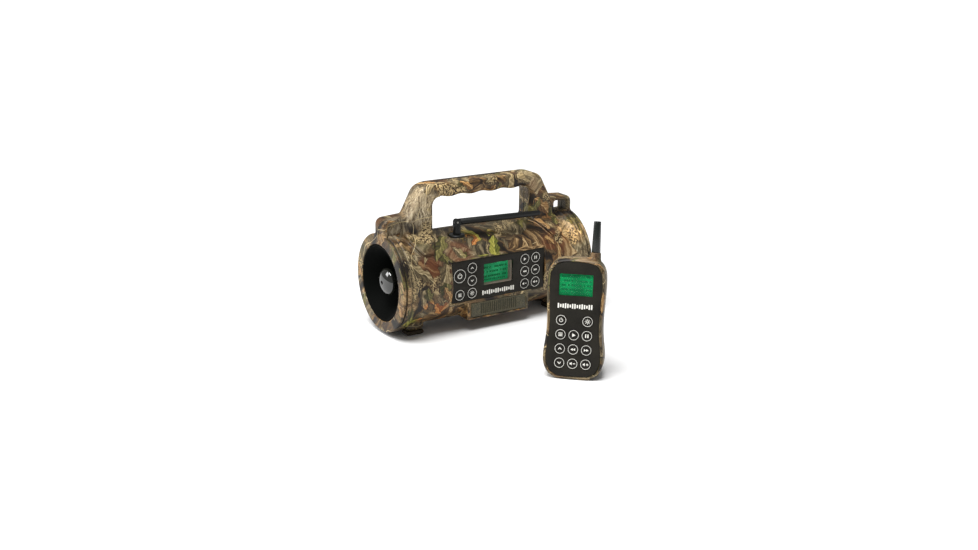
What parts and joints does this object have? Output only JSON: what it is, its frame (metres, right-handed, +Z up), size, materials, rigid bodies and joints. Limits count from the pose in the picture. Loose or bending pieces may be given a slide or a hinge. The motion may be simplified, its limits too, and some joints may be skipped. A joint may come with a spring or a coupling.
{
  "type": "electronic game caller",
  "caption": "Camouflaged tubular twin-horn electronic game caller with moulded carry handle, front control panel and folding antenna, with its standing remote handset.",
  "frame": {"origin": "middle of the rectangle of ground that the caller and its handset cover together, at ground level", "axes": "+Z up, +X along the speaker tube to the right as seen from the control panel, -Y the way the control panel faces"},
  "size_m": [0.254, 0.2976, 0.1665],
  "materials": {
    "camo_shell": "satin moulded plastic with a printed woodland leaf and bark pattern",
    "panel_black": "fine-grain black overlay with pale printed rings and symbols",
    "key_face": "black key cap with a pale ring and symbol",
    "horn_black": "satin black",
    "plug_grey": "polished grey",
    "driver_black": "black painted magnet case",
    "foot_rubber": "matt dark rubber",
    "steel_screw": "plain steel",
    "screen_frame": "matt grey",
    "screen_green": "lit green display",
    "window_clear": "clear window",
    "board_green": "green circuit board",
    "door_olive": "dark olive moulding",
    "tray_black": "black",
    "cell_wrap": "plain dark shrink sleeve",
    "antenna_black": "satin black"
  },
  "bodies": {
    "caller": {"shell_screw_1": "steel_screw", "shell_screw_2": "steel_screw", "shell_screw_3": "steel_screw", "shell_screw_4": "steel_screw", "foot_front_left": "foot_rubber", "foot_front_right": "foot_rubber", "foot_rear_left": "foot_rubber", "foot_rear_right": "foot_rubber", "left_horn": "horn_black", "left_phase_plug": "plug_grey", "left_driver": "driver_black", "right_horn": "horn_black", "right_phase_plug": "plug_grey", "right_driver": "driver_black", "front_shell": "camo_shell", "rear_shell": "camo_shell", "control_panel": "panel_black", "screen_module": "screen_frame", "screen_window": "window_clear", "main_board": "board_green", "battery_tray": "tray_black", "battery_pack": "cell_wrap", "antenna_base": "antenna_black"},
    "key_power": {"key_power": "key_face"},
    "key_mode": {"key_mode": "key_face"},
    "key_up": {"key_up": "key_face"},
    "key_down": {"key_down": "key_face"},
    "key_light": {"key_light": "key_face"},
    "key_play": {"key_play": "key_face"},
    "key_pause": {"key_pause": "key_face"},
    "key_back": {"key_back": "key_face"},
    "key_forward": {"key_forward": "key_face"},
    "key_volume_down": {"key_volume_down": "key_face"},
    "key_volume_up": {"key_volume_up": "key_face"},
    "battery_door": {"battery_door": "door_olive"},
    "antenna_swivel": {"antenna_swivel": "antenna_black", "antenna_pin": "steel_screw"},
    "antenna_arm": {"antenna_arm": "antenna_black"},
    "handset": {"handset_front_shell": "camo_shell", "handset_rear_shell": "camo_shell", "handset_face": "panel_black", "handset_screen_window": "window_clear", "handset_screen_module": "screen_green", "handset_board": "board_green", "handset_battery_pack": "cell_wrap", "handset_antenna": "antenna_black"},
    "handset_key_power": {"handset_key_power": "key_face"},
    "handset_key_light": {"handset_key_light": "key_face"},
    "handset_key_mode": {"handset_key_mode": "key_face"},
    "handset_key_play": {"handset_key_play": "key_face"},
    "handset_key_pause": {"handset_key_pause": "key_face"},
    "handset_key_up": {"handset_key_up": "key_face"},
    "handset_key_back": {"handset_key_back": "key_face"},
    "handset_key_forward": {"handset_key_forward": "key_face"},
    "handset_key_down": {"handset_key_down": "key_face"},
    "handset_key_volume_down": {"handset_key_volume_down": "key_face"},
    "handset_key_volume_up": {"handset_key_volume_up": "key_face"},
    "handset_battery_cover": {"handset_battery_cover": "camo_shell"}
  },
  "joints": [
    {"name": "press_power", "type": "slide", "parent": "caller", "child": "key_power", "axis": [0, 1, 0], "range_m": [0, 0.0006], "stiffness_N_per_m": 400},
    {"name": "press_mode", "type": "slide", "parent": "caller", "child": "key_mode", "axis": [0, 1, 0], "range_m": [0, 0.0006], "stiffness_N_per_m": 400},
    {"name": "press_up", "type": "slide", "parent": "caller", "child": "key_up", "axis": [0, 1, 0], "range_m": [0, 0.0006], "stiffness_N_per_m": 400},
    {"name": "press_down", "type": "slide", "parent": "caller", "child": "key_down", "axis": [0, 1, 0], "range_m": [0, 0.0006], "stiffness_N_per_m": 400},
    {"name": "press_light", "type": "slide", "parent": "caller", "child": "key_light", "axis": [0, 1, 0], "range_m": [0, 0.0006], "stiffness_N_per_m": 400},
    {"name": "press_play", "type": "slide", "parent": "caller", "child": "key_play", "axis": [0, 1, 0], "range_m": [0, 0.0006], "stiffness_N_per_m": 400},
    {"name": "press_pause", "type": "slide", "parent": "caller", "child": "key_pause", "axis": [0, 1, 0], "range_m": [0, 0.0006], "stiffness_N_per_m": 400},
    {"name": "press_back", "type": "slide", "parent": "caller", "child": "key_back", "axis": [0, 1, 0], "range_m": [0, 0.0006], "stiffness_N_per_m": 400},
    {"name": "press_forward", "type": "slide", "parent": "caller", "child": "key_forward", "axis": [0, 1, 0], "range_m": [0, 0.0006], "stiffness_N_per_m": 400},
    {"name": "press_volume_down", "type": "slide", "parent": "caller", "child": "key_volume_down", "axis": [0, 1, 0], "range_m": [0, 0.0006], "stiffness_N_per_m": 400},
    {"name": "press_volume_up", "type": "slide", "parent": "caller", "child": "key_volume_up", "axis": [0, 1, 0], "range_m": [0, 0.0006], "stiffness_N_per_m": 400},
    {"name": "battery_door_hinge", "type": "hinge", "parent": "caller", "child": "battery_door", "pos_m": [0, 0.04584, 0.01725], "axis": [1, 0, 0], "range_deg": [0, 95]},
    {"name": "antenna_swivel_turn", "type": "hinge", "parent": "caller", "child": "antenna_swivel", "pos_m": [-0.0402, 0.07129, 0.11], "axis": [0, 0, 1], "range_deg": [-165, 6]},
    {"name": "antenna_fold", "type": "hinge", "parent": "antenna_swivel", "child": "antenna_arm", "pos_m": [-0.0402, 0.07129, 0.1226], "axis": [-0.1132, -0.9936, 0], "range_deg": [0, 90]},
    {"name": "handset_lift", "type": "slide", "parent": "caller", "child": "handset", "axis": [0, 0, 1], "range_m": [0, 0.25]},
    {"name": "press_handset_power", "type": "slide", "parent": "handset", "child": "handset_key_power", "axis": [0.6779, 0.7219, -0.1392], "range_m": [0, 0.0006], "stiffness_N_per_m": 400},
    {"name": "press_handset_light", "type": "slide", "parent": "handset", "child": "handset_key_light", "axis": [0.6779, 0.7219, -0.1392], "range_m": [0, 0.0006], "stiffness_N_per_m": 400},
    {"name": "press_handset_mode", "type": "slide", "parent": "handset", "child": "handset_key_mode", "axis": [0.6779, 0.7219, -0.1392], "range_m": [0, 0.0006], "stiffness_N_per_m": 400},
    {"name": "press_handset_play", "type": "slide", "parent": "handset", "child": "handset_key_play", "axis": [0.6779, 0.7219, -0.1392], "range_m": [0, 0.0006], "stiffness_N_per_m": 400},
    {"name": "press_handset_pause", "type": "slide", "parent": "handset", "child": "handset_key_pause", "axis": [0.6779, 0.7219, -0.1392], "range_m": [0, 0.0006], "stiffness_N_per_m": 400},
    {"name": "press_handset_up", "type": "slide", "parent": "handset", "child": "handset_key_up", "axis": [0.6779, 0.7219, -0.1392], "range_m": [0, 0.0006], "stiffness_N_per_m": 400},
    {"name": "press_handset_back", "type": "slide", "parent": "handset", "child": "handset_key_back", "axis": [0.6779, 0.7219, -0.1392], "range_m": [0, 0.0006], "stiffness_N_per_m": 400},
    {"name": "press_handset_forward", "type": "slide", "parent": "handset", "child": "handset_key_forward", "axis": [0.6779, 0.7219, -0.1392], "range_m": [0, 0.0006], "stiffness_N_per_m": 400},
    {"name": "press_handset_down", "type": "slide", "parent": "handset", "child": "handset_key_down", "axis": [0.6779, 0.7219, -0.1392], "range_m": [0, 0.0006], "stiffness_N_per_m": 400},
    {"name": "press_handset_volume_down", "type": "slide", "parent": "handset", "child": "handset_key_volume_down", "axis": [0.6779, 0.7219, -0.1392], "range_m": [0, 0.0006], "stiffness_N_per_m": 400},
    {"name": "press_handset_volume_up", "type": "slide", "parent": "handset", "child": "handset_key_volume_up", "axis": [0.6779, 0.7219, -0.1392], "range_m": [0, 0.0006], "stiffness_N_per_m": 400},
    {"name": "handset_cover_off", "type": "slide", "parent": "handset", "child": "handset_battery_cover", "axis": [0.6779, 0.7219, -0.1392], "range_m": [0, 0.02]}
  ]
}
